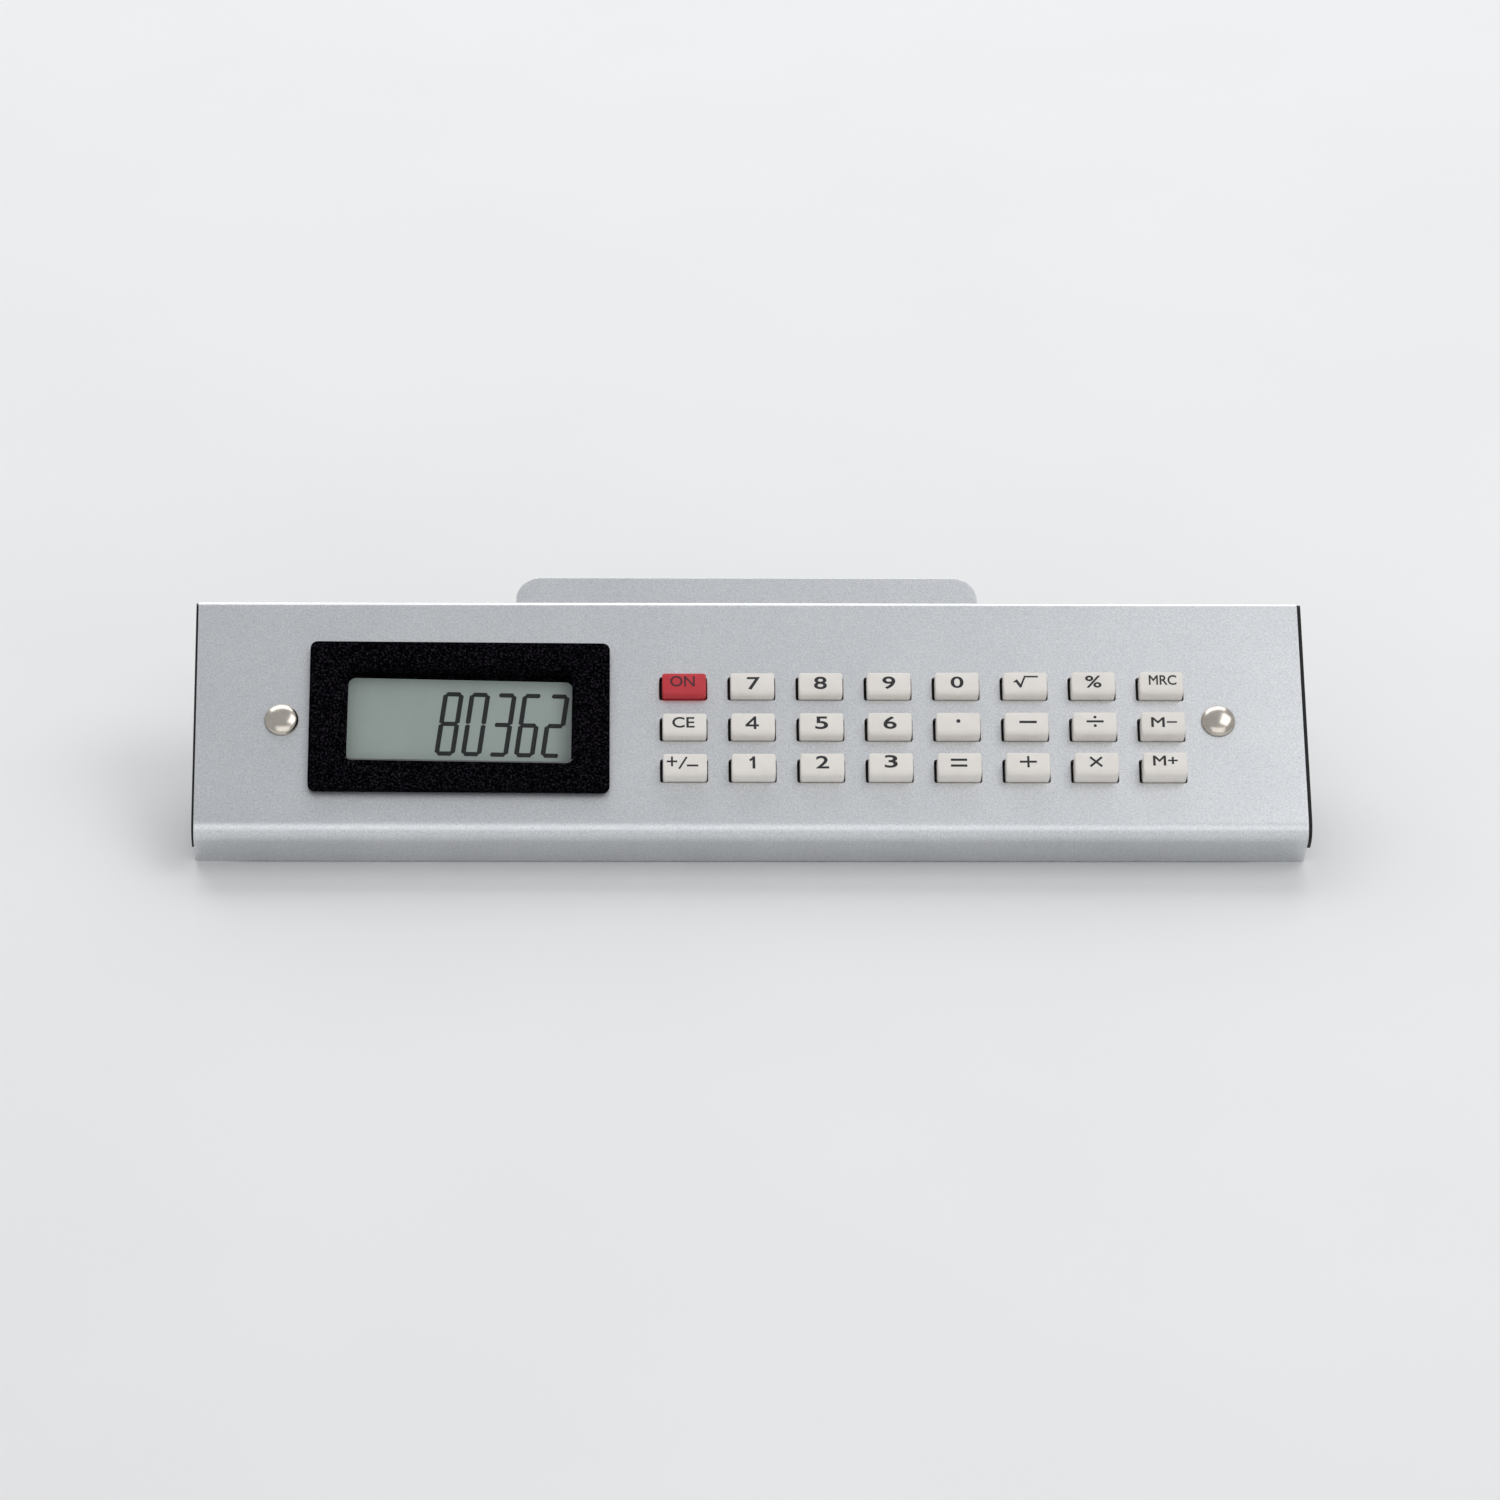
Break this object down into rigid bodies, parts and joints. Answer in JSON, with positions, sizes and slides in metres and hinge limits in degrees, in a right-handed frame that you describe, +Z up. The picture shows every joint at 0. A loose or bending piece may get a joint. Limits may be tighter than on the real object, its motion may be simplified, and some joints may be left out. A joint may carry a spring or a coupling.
{
  "type": "desk calculator",
  "caption": "Slim desk calculator in a folded aluminium cover that is also the sprung clip of a form holder: LCD, small keys, thumb tab, hinge bracket.",
  "frame": {"origin": "on the plane of the board it fastens to, straight below the middle of the hinge pin", "axes": "+X to the user's right along the hinge pin, +Y away from the user, +Z up from the board"},
  "size_m": [0.1809, 0.0509, 0.031],
  "materials": {
    "cover_aluminium": "satin anodised, fine grained",
    "clip_plate": "satin silver plate",
    "zinc_steel": "zinc plated steel",
    "spring_steel": "bare spring steel",
    "rivet_nickel": "polished nickel",
    "cell_steel": "nickel plated can",
    "black_plastic": "moulded, matt",
    "bezel_plastic": "fine spark texture",
    "key_plastic": "moulded, warm off-white with dark legends",
    "key_red": "moulded, red with a dark legend",
    "clear_plastic": "clear acrylic",
    "lcd_glass": "grey-green display cell with dark slanted digits",
    "reflector_film": "silvered film",
    "silicone_rubber": "moulded silicone",
    "board_laminate": "green solder resist",
    "chip_epoxy": "black epoxy",
    "capacitor_ceramic": "tan ceramic with tinned ends"
  },
  "bodies": {
    "base": {"base_bracket": "zinc_steel", "hinge_pin": "zinc_steel", "pin_clip": "spring_steel", "torsion_spring_left": "spring_steel", "torsion_spring_right": "spring_steel"},
    "clip": {"housing_cover": "cover_aluminium", "rear_tray": "black_plastic", "display_bezel": "bezel_plastic", "display_window": "clear_plastic", "lcd_glass": "lcd_glass", "lcd_reflector": "reflector_film", "zebra_strip": "silicone_rubber", "circuit_board": "board_laminate", "chip_blob": "chip_epoxy", "board_capacitor": "capacitor_ceramic", "board_resistor": "chip_epoxy", "board_screw_1": "zinc_steel", "board_screw_2": "zinc_steel", "board_screw_3": "zinc_steel", "board_screw_4": "zinc_steel", "keypad_mat": "silicone_rubber", "battery_cell": "cell_steel", "battery_contact_negative": "spring_steel", "battery_contact_positive": "spring_steel", "rivet_left": "rivet_nickel", "rivet_right": "rivet_nickel", "rivet_spacer_left": "zinc_steel", "rivet_spacer_right": "zinc_steel", "clamp_plate": "clip_plate"},
    "battery_door": {"battery_door": "black_plastic"},
    "key_on": {"key_on": "key_red"},
    "key_7": {"key_7": "key_plastic"},
    "key_8": {"key_8": "key_plastic"},
    "key_9": {"key_9": "key_plastic"},
    "key_0": {"key_0": "key_plastic"},
    "key_root": {"key_root": "key_plastic"},
    "key_percent": {"key_percent": "key_plastic"},
    "key_mrc": {"key_mrc": "key_plastic"},
    "key_ce": {"key_ce": "key_plastic"},
    "key_4": {"key_4": "key_plastic"},
    "key_5": {"key_5": "key_plastic"},
    "key_6": {"key_6": "key_plastic"},
    "key_point": {"key_point": "key_plastic"},
    "key_minus": {"key_minus": "key_plastic"},
    "key_divide": {"key_divide": "key_plastic"},
    "key_m_minus": {"key_m_minus": "key_plastic"},
    "key_sign": {"key_sign": "key_plastic"},
    "key_1": {"key_1": "key_plastic"},
    "key_2": {"key_2": "key_plastic"},
    "key_3": {"key_3": "key_plastic"},
    "key_equals": {"key_equals": "key_plastic"},
    "key_plus": {"key_plus": "key_plastic"},
    "key_multiply": {"key_multiply": "key_plastic"},
    "key_m_plus": {"key_m_plus": "key_plastic"}
  },
  "joints": [
    {"name": "clip_hinge", "type": "hinge", "parent": "base", "child": "clip", "pos_m": [0, 0, 0.01277], "axis": [-1, 0, 0], "range_deg": [0, 28], "stiffness_Nm_per_rad": 0.25, "springref_deg": -57.3, "deforming": ["torsion_spring_left", "torsion_spring_right"]},
    {"name": "battery_door_slide", "type": "slide", "parent": "clip", "child": "battery_door", "axis": [0, 0.8387, 0.5446], "range_m": [0, 0.013]},
    {"name": "key_on_press", "type": "slide", "parent": "clip", "child": "key_on", "axis": [0, 0.5446, -0.8387], "range_m": [0, 0.001], "stiffness_N_per_m": 300, "springref_m": -0.001, "deforming": ["keypad_mat"]},
    {"name": "key_7_press", "type": "slide", "parent": "clip", "child": "key_7", "axis": [0, 0.5446, -0.8387], "range_m": [0, 0.001], "stiffness_N_per_m": 300, "springref_m": -0.001, "deforming": ["keypad_mat"]},
    {"name": "key_8_press", "type": "slide", "parent": "clip", "child": "key_8", "axis": [0, 0.5446, -0.8387], "range_m": [0, 0.001], "stiffness_N_per_m": 300, "springref_m": -0.001, "deforming": ["keypad_mat"]},
    {"name": "key_9_press", "type": "slide", "parent": "clip", "child": "key_9", "axis": [0, 0.5446, -0.8387], "range_m": [0, 0.001], "stiffness_N_per_m": 300, "springref_m": -0.001, "deforming": ["keypad_mat"]},
    {"name": "key_0_press", "type": "slide", "parent": "clip", "child": "key_0", "axis": [0, 0.5446, -0.8387], "range_m": [0, 0.001], "stiffness_N_per_m": 300, "springref_m": -0.001, "deforming": ["keypad_mat"]},
    {"name": "key_root_press", "type": "slide", "parent": "clip", "child": "key_root", "axis": [0, 0.5446, -0.8387], "range_m": [0, 0.001], "stiffness_N_per_m": 300, "springref_m": -0.001, "deforming": ["keypad_mat"]},
    {"name": "key_percent_press", "type": "slide", "parent": "clip", "child": "key_percent", "axis": [0, 0.5446, -0.8387], "range_m": [0, 0.001], "stiffness_N_per_m": 300, "springref_m": -0.001, "deforming": ["keypad_mat"]},
    {"name": "key_mrc_press", "type": "slide", "parent": "clip", "child": "key_mrc", "axis": [0, 0.5446, -0.8387], "range_m": [0, 0.001], "stiffness_N_per_m": 300, "springref_m": -0.001, "deforming": ["keypad_mat"]},
    {"name": "key_ce_press", "type": "slide", "parent": "clip", "child": "key_ce", "axis": [0, 0.5446, -0.8387], "range_m": [0, 0.001], "stiffness_N_per_m": 300, "springref_m": -0.001, "deforming": ["keypad_mat"]},
    {"name": "key_4_press", "type": "slide", "parent": "clip", "child": "key_4", "axis": [0, 0.5446, -0.8387], "range_m": [0, 0.001], "stiffness_N_per_m": 300, "springref_m": -0.001, "deforming": ["keypad_mat"]},
    {"name": "key_5_press", "type": "slide", "parent": "clip", "child": "key_5", "axis": [0, 0.5446, -0.8387], "range_m": [0, 0.001], "stiffness_N_per_m": 300, "springref_m": -0.001, "deforming": ["keypad_mat"]},
    {"name": "key_6_press", "type": "slide", "parent": "clip", "child": "key_6", "axis": [0, 0.5446, -0.8387], "range_m": [0, 0.001], "stiffness_N_per_m": 300, "springref_m": -0.001, "deforming": ["keypad_mat"]},
    {"name": "key_point_press", "type": "slide", "parent": "clip", "child": "key_point", "axis": [0, 0.5446, -0.8387], "range_m": [0, 0.001], "stiffness_N_per_m": 300, "springref_m": -0.001, "deforming": ["keypad_mat"]},
    {"name": "key_minus_press", "type": "slide", "parent": "clip", "child": "key_minus", "axis": [0, 0.5446, -0.8387], "range_m": [0, 0.001], "stiffness_N_per_m": 300, "springref_m": -0.001, "deforming": ["keypad_mat"]},
    {"name": "key_divide_press", "type": "slide", "parent": "clip", "child": "key_divide", "axis": [0, 0.5446, -0.8387], "range_m": [0, 0.001], "stiffness_N_per_m": 300, "springref_m": -0.001, "deforming": ["keypad_mat"]},
    {"name": "key_m_minus_press", "type": "slide", "parent": "clip", "child": "key_m_minus", "axis": [0, 0.5446, -0.8387], "range_m": [0, 0.001], "stiffness_N_per_m": 300, "springref_m": -0.001, "deforming": ["keypad_mat"]},
    {"name": "key_sign_press", "type": "slide", "parent": "clip", "child": "key_sign", "axis": [0, 0.5446, -0.8387], "range_m": [0, 0.001], "stiffness_N_per_m": 300, "springref_m": -0.001, "deforming": ["keypad_mat"]},
    {"name": "key_1_press", "type": "slide", "parent": "clip", "child": "key_1", "axis": [0, 0.5446, -0.8387], "range_m": [0, 0.001], "stiffness_N_per_m": 300, "springref_m": -0.001, "deforming": ["keypad_mat"]},
    {"name": "key_2_press", "type": "slide", "parent": "clip", "child": "key_2", "axis": [0, 0.5446, -0.8387], "range_m": [0, 0.001], "stiffness_N_per_m": 300, "springref_m": -0.001, "deforming": ["keypad_mat"]},
    {"name": "key_3_press", "type": "slide", "parent": "clip", "child": "key_3", "axis": [0, 0.5446, -0.8387], "range_m": [0, 0.001], "stiffness_N_per_m": 300, "springref_m": -0.001, "deforming": ["keypad_mat"]},
    {"name": "key_equals_press", "type": "slide", "parent": "clip", "child": "key_equals", "axis": [0, 0.5446, -0.8387], "range_m": [0, 0.001], "stiffness_N_per_m": 300, "springref_m": -0.001, "deforming": ["keypad_mat"]},
    {"name": "key_plus_press", "type": "slide", "parent": "clip", "child": "key_plus", "axis": [0, 0.5446, -0.8387], "range_m": [0, 0.001], "stiffness_N_per_m": 300, "springref_m": -0.001, "deforming": ["keypad_mat"]},
    {"name": "key_multiply_press", "type": "slide", "parent": "clip", "child": "key_multiply", "axis": [0, 0.5446, -0.8387], "range_m": [0, 0.001], "stiffness_N_per_m": 300, "springref_m": -0.001, "deforming": ["keypad_mat"]},
    {"name": "key_m_plus_press", "type": "slide", "parent": "clip", "child": "key_m_plus", "axis": [0, 0.5446, -0.8387], "range_m": [0, 0.001], "stiffness_N_per_m": 300, "springref_m": -0.001, "deforming": ["keypad_mat"]}
  ]
}
